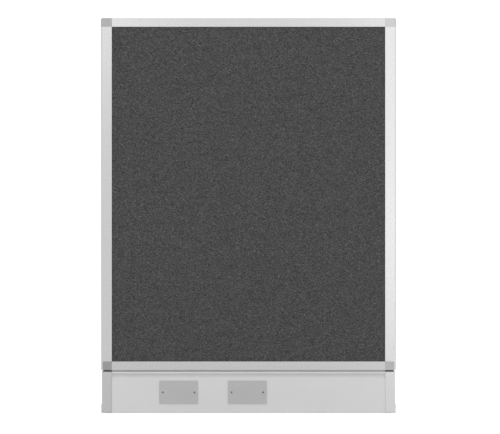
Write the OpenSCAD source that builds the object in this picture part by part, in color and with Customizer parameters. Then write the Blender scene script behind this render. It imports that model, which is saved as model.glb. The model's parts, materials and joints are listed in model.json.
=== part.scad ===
// Partition wall: an upholstered panel in an aluminium frame, standing on a
// cable raceway base with hinged covers and screw-adjusted glides.
// X is the width, Y the depth with the front at -Y, Z is up, floor at 0.

/* [Panel] */
// Overall width across the two stiles
panel_w = 914.4; // [640:0.1:1220]
// Overall height from the floor to the top rail
panel_h = 1224; // [900:1:1800]
// Overall thickness, front face to rear face
panel_t = 50.8; // [48:0.1:64]

/* [Frame] */
// Wall thickness of the frame extrusions
frame_wall = 1.8; // [1.5:0.1:2.2]
// Height of the rail faces
rail_face = 27.2; // [25:0.1:36]
// Width of the stile faces, outer nose included
stile_face = 33.9; // [32:0.1:42]
// Radius of the outer nose of the stiles
nose_r = 5.9; // [3:0.1:8]
// Radius along the outer long edges of the rails
rail_edge_r = 1.6; // [0.5:0.1:3]
// Depth of the channel that holds the infill
channel_d = 10; // [9:0.5:12]
// Width of the connector slot down the side of each stile
slot_w = 28; // [16:0.5:30]
// Depth of the connector slot
slot_d = 12; // [8:0.5:13]
// Distance between the connector nuts in the slot floor
link_pitch = 380; // [200:5:420]
// Least distance of a connector nut from the rails
link_margin = 120; // [80:5:180]
// Hole in the slot floor for a connector nut, radius
link_hole_r = 4.2; // [3.5:0.1:5]
// Thread of a connector nut, radius
link_thread_r = 2.5; // [2:0.1:3]

/* [Corner blocks] */
// Rounding of the outer top corners, seen from the front
block_r = 6; // [3:0.5:9]
// Length of the tenons that enter the stiles and rails
tenon_l = 45; // [36:1:70]
// Play around a tenon inside its chamber
tenon_play = 0.15; // [0.1:0.05:0.4]
// Shank radius of the screws that hold the tenons
frame_screw_r = 2; // [1.6:0.1:2.4]
// Head radius of the screws that hold the tenons
frame_screw_head_r = 3.8; // [3.2:0.1:4.4]
// Length of the screws that hold the tenons
frame_screw_l = 9; // [7.5:0.5:9.5]
// Play around a thread
thread_play = 0.05; // [0.02:0.01:0.1]

/* [Infill] */
// How far the infill enters the frame channel
infill_entry = 8; // [6:0.5:8.5]
// Play between the fabric face and the channel lip
infill_play = 0.4; // [0.2:0.1:0.8]
// Thickness of the fabric
fabric_t = 0.8; // [0.5:0.1:1.2]
// Thickness of each tack board
board_t = 6; // [4:0.5:9]
// Width of the wooden battens round the core
batten_w = 30; // [18:1:45]
// Honeycomb cell size across its flats
cell_af = 56; // [40:1:80]
// Thickness of a honeycomb cell wall
cell_wall = 1.2; // [0.8:0.1:2]
// Length of a rubber setting pad
pad_l = 80; // [40:1:120]
// Play between a setting pad and the channel lip
pad_play = 0.6; // [0.3:0.1:1]

/* [Raceway] */
// Height of the raceway's top above the floor
base_h = 129; // [122:0.5:160]
// Shadow gap between the raceway and the frame
base_gap = 4; // [3:0.5:8]
// How far the raceway's ends sit inside the frame's sides
base_inset = 2.85; // [2.2:0.05:4]
// Floor clearance of the legs and covers
floor_gap = 1.5; // [1:0.1:4]
// Wall thickness of the spine and of the divider under it
spine_wall = 1.6; // [1.4:0.1:2.4]
// Radius of the spine's hinge rods
rod_r = 2.05; // [1.8:0.05:2.3]
// Wall thickness of the jaws under the spine
jaw_wall = 0.9; // [0.8:0.1:1.1]
// Height of the divider's head, which the jaws hold
divider_head_h = 2.4; // [1.5:0.1:3]
// Height of the divider's shelf above the floor
shelf_z = 12; // [12:0.5:18]
// Offset of the spine's screws from the divider
spine_screw_y = 7; // [7:0.5:9]
// Distance of the spine's screws from the middle
spine_screw_x = 300; // [150:5:380]
// Shank radius of the spine's screws
spine_screw_r = 2.5; // [2:0.1:3]
// Width of the cable windows in the divider's web
web_window_w = 120; // [60:5:150]
// Height of the cable windows in the divider's web
web_window_h = 50; // [30:5:70]

/* [Covers] */
// Wall thickness of a cover
cover_wall = 1.6; // [1.3:0.1:2]
// Outer radius of the cover's hinge hook
hook_r = 3.4; // [3.3:0.05:3.8]
// Play between the hinge rod and its hook
hook_play = 0.15; // [0.1:0.05:0.25]
// Radius of the cover's rounded shoulder
shoulder_r = 4; // [3:0.1:5]
// Height of the shoulder's flat face above the floor
shoulder_z = 107; // [90:0.5:108]
// Depth of the cover's bottom return
return_d = 5; // [4.5:0.5:6]
// Height of the cover's inner lip above its return
lip_h = 4.4; // [3:0.2:5]
// Play between a cover's end and the leg
cover_play = 0.4; // [0.2:0.1:1]
// Width of an outlet cut-out
cutout_w = 84; // [70:1:88]
// Height of an outlet cut-out
cutout_h = 50; // [40:1:56]

/* [Blank plates] */
// Width of a blank plate
plate_w = 120.5; // [114:0.5:126]
// Height of a blank plate
plate_h = 72.4; // [64:0.2:74]
// How far a plate stands proud of its cover
plate_t = 1.8; // [1.5:0.1:2.6]
// Skin thickness of a plate
plate_skin = 1; // [0.8:0.1:1.1]
// Width of the rim round a plate's hollow back
plate_rim = 2.5; // [1.5:0.1:4]
// Corner radius of a plate
plate_r = 3; // [1:0.5:6]
// Height of the plate centres above the floor
plate_z = 64.8; // [56:0.2:66]
// From the cover's left end to the first plate's centre
plate_from_end = 206.7; // [70:0.1:220]
// Distance between the two plates on a cover
plate_pitch = 212.6; // [130:0.1:240]
// Distance between a plate's two screws
plate_screw_pitch = 97.8; // [94:0.1:100]
// Shank radius of a plate screw
plate_screw_r = 1.7; // [1.4:0.1:2]
// Head radius of a plate screw
plate_screw_head_r = 3.1; // [2.6:0.1:3.4]
// Play round a plate screw's shank and head
plate_screw_play = 0.15; // [0.1:0.05:0.3]
// Sheet thickness of a clip nut
clip_t = 0.5; // [0.4:0.05:0.6]
// Width of a clip nut
clip_w = 11; // [9:0.5:14]
// Play between a clip nut and the cover
clip_play = 0.05; // [0.02:0.01:0.1]

/* [Legs] */
// Wall thickness of a leg
leg_wall = 2.5; // [2:0.1:3]
// Radius of a leg's top edges
leg_top_r = 3.4; // [1.5:0.1:5]
// Radius of a leg's outer upright edges
leg_edge_r = 1.5; // [0.5:0.1:2.4]
// How far a leg's neck is recessed
neck_inset = 6; // [5:0.5:7]
// Width of the cable pass-through in a leg
pass_w = 34; // [24:0.5:36]
// Height of the cable pass-through in a leg
pass_h = 44; // [30:0.5:46]
// Height of the middle of the pass-through above the floor
pass_z = 93; // [91:0.5:97]
// Corner radius of the pass-through
pass_r = 5; // [3:0.5:8]
// Thickness of a grommet's sleeve and flange
grommet_t = 1.5; // [1:0.1:2]
// Width of a grommet's flange
grommet_flange = 2; // [1.5:0.1:2.4]
// Shank radius of the leg bolts
leg_bolt_r = 3; // [2.5:0.1:3.5]
// Distance of the leg bolts from the middle plane
leg_bolt_y = 12; // [10:0.5:13]
// Length of a leg bolt under its head
leg_bolt_l = 18; // [15:0.5:20]
// Outer radius of the threaded inserts for the leg bolts
insert_r = 4.2; // [4:0.1:4.6]

/* [Feet] */
// Sheet thickness of a foot bracket
bracket_t = 1.6; // [1.2:0.1:2]
// Height of a foot bracket above the floor
bracket_h = 28.7; // [26:0.1:36]
// Width of a foot bracket's plate
bracket_w = 46; // [42:0.5:47]
// Width of a foot bracket's flange
bracket_flange_w = 36; // [24:0.5:38]
// Play round a foot bracket's flange in its slot
bracket_play = 0.1; // [0.05:0.05:0.3]
// Distance of the bracket screws from the middle plane
bracket_screw_y = 16; // [13:0.5:18]
// Radius of a glide's base
glide_r = 18; // [15:0.5:18]
// Thickness of a glide's base
glide_t = 6; // [4:0.5:8]
// Thread radius of a glide's stem
stem_r = 4.95; // [4:0.05:5]
// Length of a glide's stem above its ball
stem_l = 57; // [50:1:57]
// Play round the stem in its nut
stem_play = 0.1; // [0.05:0.05:0.2]
// Radius of the ball at a stem's foot
ball_r = 6; // [5.4:0.1:6]
// Play round the ball in the glide's socket
ball_play = 0.2; // [0.1:0.05:0.3]
// Width across the flats of a glide nut
nut_af = 17; // [14:0.5:18]

/* [Catches] */
// Sheet thickness of a cover catch
catch_t = 0.8; // [0.6:0.1:1]
// Width of a cover catch
catch_w = 16; // [10:1:25]
// Distance of the cover catches from the middle
catch_x = 250; // [120:5:300]
// Radius of the rolled nose of a catch
catch_nose_r = 1.2; // [1:0.1:1.5]
// Play between a catch's nose and the cover's lip
catch_play = 0.15; // [0.1:0.05:0.3]
// Shank radius of a catch rivet
rivet_r = 1.6; // [1.2:0.1:2]

/* [Hidden] */
$fn = 64;
over = 1;
half_w = panel_w / 2;
half_t = panel_t / 2;
inner_y = half_t - frame_wall;
open_x = half_w - stile_face;
rail_bottom_z = base_h + base_gap;
open_z0 = rail_bottom_z + rail_face;
open_z1 = panel_h - rail_face;
stile_web = stile_face - channel_d - frame_wall;
stile_chamber = stile_web - slot_d - frame_wall;
rail_web = rail_face - channel_d - frame_wall;
rail_chamber = rail_web - frame_wall;
slot_wall_y = slot_w / 2 + frame_wall;
screw_back = tenon_l / 2;
screw_gap = 18;
rail_screw_y = 13;
head_h = 2.2;
link_mid_z = (open_z0 + open_z1) / 2;
link_steps = floor((open_z1 - open_z0 - 2 * link_margin) / link_pitch);
link_flange = 0.8;

infill_y = inner_y - infill_play;
infill_x = open_x + infill_entry;
infill_z0 = open_z0 - infill_entry;
infill_z1 = open_z1 + infill_entry;
board_x = infill_x - fabric_t;
board_z0 = infill_z0 + fabric_t;
board_z1 = infill_z1 - fabric_t;
core_y = infill_y - fabric_t - board_t;
cell_step = cell_af + cell_wall;
cell_row = cell_step * sqrt(3) / 2;
core_x = board_x - batten_w;
core_z0 = board_z0 + batten_w;
core_z1 = board_z1 - batten_w;
core_mid_z = (core_z0 + core_z1) / 2;

leg_w = stile_face - base_inset;
hinge_y = half_t - hook_r;
hinge_z = base_h - hook_r;
cover_x = open_x - cover_play;
neck_y = hinge_y - cover_wall / 2;
plate_x = [for (i = [0, 1]) -cover_x + plate_from_end + i * plate_pitch];
rib_y = 13;
rivnut_r = 3.6;
rivnut_l = 12;
spine_head_h = 3;
spine_head_r = 4.5;
spine_thread_l = 10;

glide_u = stile_face - channel_d;
neck_u0 = base_inset + neck_inset;
neck_u1 = stile_face - neck_inset;
leg_bolt_u = (neck_u0 + neck_u1) / 2;
leg_head_r = 5;
leg_head_h = 5.5;
insert_l = 12;
flange_z0 = bracket_h - bracket_t;
bracket_screw_z = 14;
bracket_screw_r = 2;
bracket_screw_head_r = 3.5;
bracket_screw_l = bracket_t + leg_wall;
ball_z = 3.3 + ball_r;
hub_r = 9;
hub_z = ball_z + 3.4;
nut_h = 8;
hex_z0 = hub_z + 2;
hex_h = 5;
rivet_head_r = 2.8;
rivet_head_h = 0.9;
catch_reach = 13;
rivet_back = 7;
divider_play = 0.1;
divider_head_y = 1.3;
flange_z = hinge_z - spine_wall / 2;
divider_top_z = flange_z - divider_play;
jaw_z = divider_top_z - divider_head_h - divider_play - jaw_wall;
return_top_z = floor_gap + cover_wall;
lip_top_z = return_top_z + lip_h;
lip_y = half_t - return_d + cover_wall / 2;

aluminium = [0.76, 0.77, 0.78];
grey = [0.62, 0.63, 0.64];
charcoal = [0.2, 0.2, 0.21];
steel = [0.55, 0.56, 0.58];
kraft = [0.72, 0.58, 0.4];
pine = [0.82, 0.7, 0.5];
fibre = [0.5, 0.42, 0.33];
black = [0.08, 0.08, 0.08];
brass = [0.8, 0.66, 0.32];

// Extrude a Y-Z drawing along X, centred on the middle plane.
module along_x(length) {
  rotate([90, 0, 90])
    translate([0, 0, -length / 2])
      linear_extrude(length)
        children();
}

// Extrude an X-Z drawing along Y, from the front plane y0 back to y1.
module along_y(y0, y1) {
  translate([0, y1, 0])
    rotate([90, 0, 0])
      linear_extrude(y1 - y0)
        children();
}

// Stand children on both sides of the panel: the left as drawn, the right turned.
module on_left() {
  translate([-half_w, 0, 0])
    children();
}

module on_right() {
  rotate([0, 0, 180])
    on_left()
      children();
}

module both_sides() {
  on_left()
    children();
  on_right()
    children();
}

module turned() {
  rotate([0, 0, 180])
    children();
}

module rounded_square(w, h, r) {
  translate([-w / 2 + r, -h / 2])
    square([w - 2 * r, h]);
  translate([-w / 2, -h / 2 + r])
    square([w, h - 2 * r]);
  for (sx = [-1, 1], sy = [-1, 1])
    translate([sx * (w / 2 - r), sy * (h / 2 - r)])
      circle(r);
}

// Frame section seen from above: both outer corners rounded to the nose radius.
module nosed_outline() {
  translate([nose_r, -half_t])
    square([stile_face - nose_r, panel_t]);
  translate([0, nose_r - half_t])
    square([nose_r + over, panel_t - 2 * nose_r]);
  for (s = [-1, 1])
    translate([nose_r, s * (half_t - nose_r)])
      circle(nose_r);
}

// Hollow beside the connector slot, following the nose inside.
module nose_pocket() {
  pocket_r = nose_r - frame_wall;
  difference() {
    translate([frame_wall, slot_wall_y])
      square([slot_d - frame_wall, inner_y - slot_wall_y]);
    translate([frame_wall, inner_y - pocket_r])
      square([pocket_r, pocket_r + over]);
  }
  intersection() {
    translate([frame_wall, slot_wall_y])
      square([pocket_r + over, inner_y - slot_wall_y]);
    translate([frame_wall + pocket_r, inner_y - pocket_r])
      circle(pocket_r);
  }
}

module stile_section() {
  difference() {
    nosed_outline();
    translate([-over, -slot_w / 2])
      square([slot_d + over, slot_w]);
    translate([slot_d + frame_wall, -inner_y])
      square([stile_chamber, 2 * inner_y]);
    translate([stile_face - channel_d, -inner_y])
      square([channel_d + over, 2 * inner_y]);
    nose_pocket();
    mirror([0, 1])
      nose_pocket();
  }
}

// What is left of the stile beside its lower corner block.
module stile_tail_section() {
  intersection() {
    stile_section();
    union() {
      translate([0, -half_t])
        square([nose_r, panel_t]);
      translate([0, -slot_wall_y])
        square([slot_d + frame_wall, 2 * slot_wall_y]);
    }
  }
}

// Pan-head screw driven along +X from its head face.
module stile_screw(play) {
  translate([-head_h, 0, 0])
    rotate([0, 90, 0])
      cylinder(h = head_h, r = frame_screw_head_r);
  rotate([0, 90, 0])
    cylinder(h = frame_screw_l, r = frame_screw_r + play);
}

// Countersunk screw driven along -Z from a flush head.
module rail_screw(play) {
  translate([0, 0, -head_h])
    cylinder(h = head_h, r1 = frame_screw_r + play, r2 = frame_screw_head_r + play);
  translate([0, 0, -frame_screw_l])
    cylinder(h = frame_screw_l, r = frame_screw_r + play);
}

// The left side's stile screws and holes; dir is +1 up the lower tenon, -1 down the top one.
module stile_screw_places(z, dir) {
  for (i = [-1, 1])
    translate([slot_d, 0, z + dir * (screw_back + i * screw_gap / 2)])
      children();
}

module top_rail_screw_places() {
  for (s = [-1, 1])
    translate([stile_face + screw_back, s * rail_screw_y, panel_h])
      children();
}

module bottom_rail_screw_places() {
  for (s = [-1, 1])
    translate([stile_face + screw_back, s * rail_screw_y, rail_bottom_z])
      mirror([0, 0, 1])
        children();
}

module link_places() {
  for (i = [0 : link_steps])
    translate([slot_d, 0, link_mid_z + (i - link_steps / 2) * link_pitch])
      rotate([0, 90, 0])
        children();
}

module one_stile() {
  difference() {
    union() {
      translate([0, 0, open_z0])
        linear_extrude(open_z1 - open_z0)
          stile_section();
      translate([0, 0, rail_bottom_z])
        linear_extrude(rail_face)
          stile_tail_section();
    }
    stile_screw_places(open_z1, -1)
      stile_screw(thread_play);
    stile_screw_places(open_z0, 1)
      stile_screw(thread_play);
    link_places()
      translate([0, 0, -over])
        cylinder(h = frame_wall + 2 * over, r = link_hole_r);
  }
}

module left_stile() {
  color(aluminium)
    on_left()
      one_stile();
}

module right_stile() {
  color(aluminium)
    on_right()
      one_stile();
}

// Rail section with its channel opening downwards, top face at 0.
module rail_outline() {
  translate([-half_t, -rail_face])
    square([panel_t, rail_face - rail_edge_r]);
  translate([rail_edge_r - half_t, -rail_edge_r - over])
    square([panel_t - 2 * rail_edge_r, rail_edge_r + over]);
  for (s = [-1, 1])
    translate([s * (half_t - rail_edge_r), -rail_edge_r])
      circle(rail_edge_r);
}

module rail_section() {
  difference() {
    rail_outline();
    translate([-inner_y, -rail_web])
      square([2 * inner_y, rail_chamber]);
    translate([-inner_y, -rail_face - over])
      square([2 * inner_y, channel_d + over]);
  }
}

module top_rail() {
  color(aluminium)
    difference() {
      translate([0, 0, panel_h])
        along_x(2 * open_x)
          rail_section();
      both_sides()
        top_rail_screw_places()
          rail_screw(thread_play);
    }
}

module rail_nut_places() {
  for (x = [-1, 1], y = [-1, 1])
    translate([x * spine_screw_x, y * spine_screw_y, rail_bottom_z])
      children();
}

module bottom_rail() {
  color(aluminium)
    difference() {
      translate([0, 0, rail_bottom_z])
        mirror([0, 0, 1])
          along_x(2 * open_x)
            rail_section();
      both_sides()
        bottom_rail_screw_places()
          rail_screw(thread_play);
      rail_nut_places()
        translate([0, 0, -over])
          cylinder(h = frame_wall + 2 * over, r = rivnut_r + thread_play);
    }
}

// The two tenons of a corner block, drawn for the top left corner with its top at 0.
module tenons() {
  translate([slot_d + frame_wall + tenon_play, tenon_play - inner_y, -rail_face - tenon_l])
    cube([stile_chamber - 2 * tenon_play, 2 * (inner_y - tenon_play), tenon_l + over]);
  translate([stile_face - over, tenon_play - inner_y, tenon_play - rail_web])
    cube([tenon_l + over, 2 * (inner_y - tenon_play), rail_chamber - 2 * tenon_play]);
}

// The corner of the infill channel, cut into each block.
module channel_corner() {
  translate([stile_face - channel_d, -inner_y, -rail_face - over])
    cube([channel_d + over, 2 * inner_y, channel_d + over]);
}

module top_block() {
  difference() {
    union() {
      intersection() {
        translate([0, 0, -rail_face])
          linear_extrude(rail_face)
            nosed_outline();
        translate([stile_face / 2, 0, 0])
          along_x(stile_face)
            rail_outline();
        along_y(-half_t, half_t)
          union() {
            translate([block_r, -rail_face])
              square([stile_face - block_r, rail_face]);
            translate([0, -rail_face])
              square([block_r + over, rail_face - block_r]);
            translate([block_r, -block_r])
              circle(block_r);
          }
      }
      tenons();
    }
    translate([-over, -slot_w / 2, -rail_face - over])
      cube([slot_d + over, slot_w, rail_face + 2 * over]);
    channel_corner();
    translate([0, 0, -panel_h]) {
      stile_screw_places(open_z1, -1)
        stile_screw(thread_play);
      top_rail_screw_places()
        rail_screw(thread_play);
    }
  }
}

module top_left_block() {
  color(grey)
    on_left()
      translate([0, 0, panel_h])
        top_block();
}

module top_right_block() {
  color(grey)
    on_right()
      translate([0, 0, panel_h])
        top_block();
}

module leg_bolt_places() {
  for (s = [-1, 1])
    translate([leg_bolt_u, s * leg_bolt_y, 0])
      children();
}

// Lower block: the stile's nose and slot run on beside it, so it wraps round them.
module bottom_block() {
  difference() {
    translate([0, 0, rail_bottom_z])
      mirror([0, 0, 1])
        difference() {
          union() {
            translate([nose_r + tenon_play, 0, 0])
              intersection() {
                translate([0, -half_t, -rail_face])
                  cube([stile_face - nose_r - tenon_play, panel_t, rail_face]);
                along_x(2 * stile_face)
                  rail_outline();
              }
            tenons();
          }
          translate([0, -slot_wall_y - tenon_play, -rail_face])
            cube([slot_d + frame_wall + tenon_play, 2 * (slot_wall_y + tenon_play), rail_face + over]);
          channel_corner();
        }
    stile_screw_places(open_z0, 1)
      stile_screw(thread_play);
    bottom_rail_screw_places()
      rail_screw(thread_play);
    leg_bolt_places()
      translate([0, 0, rail_bottom_z - over])
        cylinder(h = insert_l + over, r = insert_r);
  }
}

module bottom_left_block() {
  color(grey)
    on_left()
      bottom_block();
}

module bottom_right_block() {
  color(grey)
    on_right()
      bottom_block();
}

module cross_recess(r, depth) {
  for (a = [0, 90])
    rotate([0, 0, a])
      translate([-r, -r / 4, -depth])
        cube([2 * r, r / 2, depth + over]);
}

module stile_screws() {
  color(steel)
    both_sides()
      for (end = [[open_z1, -1], [open_z0, 1]])
        stile_screw_places(end[0], end[1])
          difference() {
            stile_screw(0);
            translate([-head_h, 0, 0])
              rotate([0, -90, 0])
                cross_recess(frame_screw_r, head_h / 2);
          }
}

module rail_screws() {
  color(steel)
    both_sides() {
      top_rail_screw_places()
        difference() {
          rail_screw(0);
          cross_recess(frame_screw_r, head_h / 2);
        }
      bottom_rail_screw_places()
        difference() {
          rail_screw(0);
          cross_recess(frame_screw_r, head_h / 2);
        }
    }
}

// Rivet nut along +Z through a sheet whose near face is at 0.
module rivet_nut(r, length, bore, sheet) {
  bulge = 0.9;
  difference() {
    union() {
      translate([0, 0, -link_flange])
        cylinder(h = link_flange, r = r + bulge);
      translate([0, 0, -link_flange])
        cylinder(h = length + link_flange, r = r);
      translate([0, 0, sheet])
        cylinder(h = 2 * bulge, r = r + bulge);
    }
    translate([0, 0, -link_flange - over])
      cylinder(h = length + 2 * over + link_flange, r = bore);
  }
}

module link_nuts() {
  color(steel)
    both_sides()
      link_places()
        rivet_nut(link_hole_r, stile_chamber - over, link_thread_r, frame_wall);
}

module rail_nuts() {
  color(steel)
    rail_nut_places()
      rivet_nut(rivnut_r, rivnut_l, spine_screw_r + thread_play, frame_wall);
}

// Upholstery cloth drawn over the front board and turned down its edges.
module fabric() {
  difference() {
    translate([-infill_x, -infill_y, infill_z0])
      cube([2 * infill_x, fabric_t + board_t, infill_z1 - infill_z0]);
    translate([-board_x, -infill_y + fabric_t, board_z0])
      cube([2 * board_x, board_t + over, board_z1 - board_z0]);
  }
}

module front_fabric() {
  color(charcoal)
    fabric();
}

module rear_fabric() {
  color(charcoal)
    turned()
      fabric();
}

module tack_board() {
  translate([-board_x, -core_y - board_t, board_z0])
    cube([2 * board_x, board_t, board_z1 - board_z0]);
}

module front_board() {
  color(fibre)
    tack_board();
}

module rear_board() {
  color(fibre)
    turned()
      tack_board();
}

// Expanded paper core: rows of six-sided cells between the battens.
module honeycomb() {
  cols = ceil(core_x / cell_step);
  rows = ceil((core_z1 - core_z0) / 2 / cell_row);
  color(kraft)
    along_y(-core_y, core_y)
      difference() {
        translate([-core_x, core_z0])
          square([2 * core_x, core_z1 - core_z0]);
        intersection() {
          translate([cell_wall - core_x, core_z0 + cell_wall])
            square([2 * (core_x - cell_wall), core_z1 - core_z0 - 2 * cell_wall]);
          union()
            for (row = [-rows : rows], col = [-cols : cols])
              translate([(col + (abs(row) % 2) / 2) * cell_step, core_mid_z + row * cell_row])
                rotate(30)
                  circle(r = cell_af / sqrt(3), $fn = 6);
        }
      }
}

module side_batten() {
  translate([-board_x, -core_y, core_z0])
    cube([batten_w, 2 * core_y, core_z1 - core_z0]);
}

module left_batten() {
  color(pine)
    side_batten();
}

module right_batten() {
  color(pine)
    turned()
      side_batten();
}

module cross_batten(z) {
  translate([-board_x, -core_y, z])
    cube([2 * board_x, 2 * core_y, batten_w]);
}

module top_batten() {
  color(pine)
    cross_batten(core_z1);
}

module bottom_batten() {
  color(pine)
    cross_batten(board_z0);
}

module setting_pads() {
  pad_y = inner_y - pad_play;
  color(black)
    for (s = [-1, 1])
      translate([s * open_x * 0.7 - pad_l / 2, -pad_y, open_z0 - channel_d])
        cube([pad_l, 2 * pad_y, channel_d - infill_entry]);
}

// Raceway spine: hinge rods on the flange edges, ribs to the rail, and jaws underneath.
module spine_section() {
  web_y = spine_wall / 2 + divider_play;
  jaw_y = divider_head_y + divider_play + jaw_wall;
  for (s = [-1, 1]) {
    translate([s * hinge_y, hinge_z])
      circle(rod_r);
    translate([s * rib_y - spine_wall / 2, hinge_z])
      square([spine_wall, rail_bottom_z - hinge_z]);
    translate([s * (jaw_y - jaw_wall / 2) - jaw_wall / 2, jaw_z])
      square([jaw_wall, hinge_z - jaw_z]);
    translate([s * (web_y + jaw_y) / 2 - (jaw_y - web_y) / 2, jaw_z])
      square([jaw_y - web_y, jaw_wall]);
  }
  translate([-hinge_y, flange_z])
    square([2 * hinge_y, spine_wall]);
}

// Divider: a web whose thick head slides into the spine's jaws, with a shelf at its foot.
module divider_section() {
  translate([-divider_head_y, divider_top_z - divider_head_h])
    square([2 * divider_head_y, divider_head_h]);
  translate([-spine_wall / 2, shelf_z])
    square([spine_wall, divider_top_z - shelf_z]);
  translate([-lip_y + over, shelf_z])
    square([2 * (lip_y - over), spine_wall]);
}

module catch_places() {
  for (s = [-1, 1])
    translate([s * catch_x, 0, 0])
      children();
}

module spine() {
  color(aluminium)
    difference() {
      along_x(2 * cover_x)
        spine_section();
      rail_nut_places()
        translate([0, 0, flange_z - rail_bottom_z - over])
          cylinder(h = spine_wall + 2 * over, r = spine_screw_r + thread_play);
    }
}

module divider() {
  window_z = (shelf_z + hinge_z) / 2;
  driver_r = 5.5;
  color(aluminium)
    difference() {
      along_x(2 * cover_x)
        divider_section();
      along_y(-spine_wall, spine_wall)
        for (i = [-1, 0, 1])
          translate([i * cover_x * 2 / 3, window_z])
            square([web_window_w, web_window_h], center = true);
      rail_nut_places()
        translate([0, 0, shelf_z - rail_bottom_z - over])
          cylinder(h = spine_wall + 2 * over, r = driver_r);
      for (a = [0, 180])
        rotate([0, 0, a])
          catch_places()
            translate([0, -lip_y + over + rivet_back, shelf_z - over])
              cylinder(h = spine_wall + 2 * over, r = rivet_r + thread_play);
    }
}

module spine_screws() {
  color(steel)
    rail_nut_places()
      translate([0, 0, flange_z - rail_bottom_z])
        difference() {
          union() {
            translate([0, 0, -spine_head_h])
              cylinder(h = spine_head_h, r = spine_head_r);
            cylinder(h = rail_bottom_z - flange_z + spine_thread_l, r = spine_screw_r);
          }
          translate([0, 0, -spine_head_h])
            rotate([180, 0, 0])
              cross_recess(spine_screw_r, spine_head_h / 2);
        }
}

module pass_outline(grow) {
  translate([0, pass_z])
    rounded_square(pass_w + 2 * grow, pass_h + 2 * grow, pass_r + grow);
}

// Draw a Y-Z outline as a plate from u0 to u1, measured in from the panel's side.
module side_plate(u0, u1) {
  translate([(u0 + u1) / 2, 0, 0])
    along_x(u1 - u0)
      children();
}

// Cast end leg: open underneath and inboard, with a neck up to the corner block.
module leg() {
  leg_h = base_h - floor_gap;
  difference() {
    union() {
      intersection() {
        side_plate(base_inset, stile_face)
          union() {
            translate([-half_t, floor_gap])
              square([panel_t, leg_h - leg_top_r]);
            translate([leg_top_r - half_t, floor_gap])
              square([panel_t - 2 * leg_top_r, leg_h]);
            for (s = [-1, 1])
              translate([s * (half_t - leg_top_r), base_h - leg_top_r])
                circle(leg_top_r);
          }
        linear_extrude(base_h)
          union() {
            translate([base_inset + leg_edge_r, -half_t])
              square([leg_w - leg_edge_r, panel_t]);
            translate([base_inset, leg_edge_r - half_t])
              square([leg_edge_r + over, panel_t - 2 * leg_edge_r]);
            for (s = [-1, 1])
              translate([base_inset + leg_edge_r, s * (half_t - leg_edge_r)])
                circle(leg_edge_r);
          }
      }
      translate([neck_u0, neck_inset - half_t, base_h - leg_wall])
        cube([neck_u1 - neck_u0, panel_t - 2 * neck_inset, base_gap + leg_wall]);
    }
    translate([base_inset + leg_wall, leg_wall - half_t, 0])
      cube([leg_w, panel_t - 2 * leg_wall, base_h - leg_wall]);
    side_plate(0, base_inset + leg_wall + over)
      pass_outline(0);
    translate([0, -bracket_flange_w / 2 - bracket_play, flange_z0 - bracket_play])
      cube([base_inset + leg_wall + over, bracket_flange_w + 2 * bracket_play, bracket_t + 2 * bracket_play]);
    bracket_screw_places()
      bracket_screw(thread_play);
    leg_bolt_places()
      cylinder(h = rail_bottom_z + over, r = leg_bolt_r + thread_play);
  }
}

module left_leg() {
  color(grey)
    on_left()
      leg();
}

module right_leg() {
  color(grey)
    on_right()
      leg();
}

module leg_bolts() {
  color(steel)
    both_sides()
      leg_bolt_places()
        translate([0, 0, base_h - leg_wall])
          difference() {
            union() {
              translate([0, 0, -leg_head_h])
                cylinder(h = leg_head_h, r = leg_head_r);
              cylinder(h = leg_bolt_l, r = leg_bolt_r);
            }
            translate([0, 0, -leg_head_h - over])
              cylinder(h = leg_head_h / 2 + over, r = leg_bolt_r, $fn = 6);
          }
}

module leg_inserts() {
  color(brass)
    both_sides()
      leg_bolt_places()
        translate([0, 0, rail_bottom_z])
          difference() {
            cylinder(h = insert_l, r = insert_r - thread_play);
            translate([0, 0, -over])
              cylinder(h = insert_l + 2 * over, r = leg_bolt_r + thread_play);
          }
}

// Rubber liner of the pass-through, with its flange inside the leg.
module grommet() {
  inner_u = base_inset + leg_wall;
  difference() {
    union() {
      side_plate(base_inset, inner_u + over)
        pass_outline(-thread_play);
      side_plate(inner_u, inner_u + grommet_t)
        pass_outline(grommet_flange);
    }
    side_plate(0, inner_u + grommet_t + over)
      pass_outline(-grommet_t);
  }
}

module left_grommet() {
  color(black)
    on_left()
      grommet();
}

module right_grommet() {
  color(black)
    on_right()
      grommet();
}

module bracket_screw_places() {
  for (s = [-1, 1])
    translate([base_inset - bracket_t, s * bracket_screw_y, bracket_screw_z])
      rotate([0, 90, 0])
        children();
}

// Countersunk screw along +Z from a flush head.
module bracket_screw(play) {
  cylinder(h = bracket_t, r1 = bracket_screw_head_r + play, r2 = bracket_screw_r + play);
  cylinder(h = bracket_screw_l, r = bracket_screw_r + play);
}

// Foot bracket: outer plate folded in over the glide.
module bracket() {
  difference() {
    union() {
      translate([base_inset - bracket_t, -bracket_w / 2, floor_gap])
        cube([bracket_t, bracket_w, bracket_h - floor_gap]);
      translate([base_inset - bracket_t, -bracket_flange_w / 2, flange_z0])
        cube([stile_face - base_inset + bracket_t - over, bracket_flange_w, bracket_t]);
    }
    bracket_screw_places()
      bracket_screw(thread_play);
    translate([glide_u, 0, flange_z0 - over])
      cylinder(h = bracket_t + 2 * over, r = stem_r + 4 * stem_play);
  }
}

module left_bracket() {
  color(steel)
    on_left()
      bracket();
}

module right_bracket() {
  color(steel)
    on_right()
      bracket();
}

module bracket_screws() {
  color(steel)
    both_sides()
      bracket_screw_places()
        difference() {
          bracket_screw(0);
          rotate([180, 0, 0])
            cross_recess(bracket_screw_r, bracket_t / 2);
        }
}

module glide_nuts() {
  color(steel)
    both_sides()
      translate([glide_u, 0, bracket_h])
        difference() {
          cylinder(h = nut_h, r = nut_af / sqrt(3), $fn = 6);
          translate([0, 0, -over])
            cylinder(h = nut_h + 2 * over, r = stem_r + stem_play);
        }
}

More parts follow.
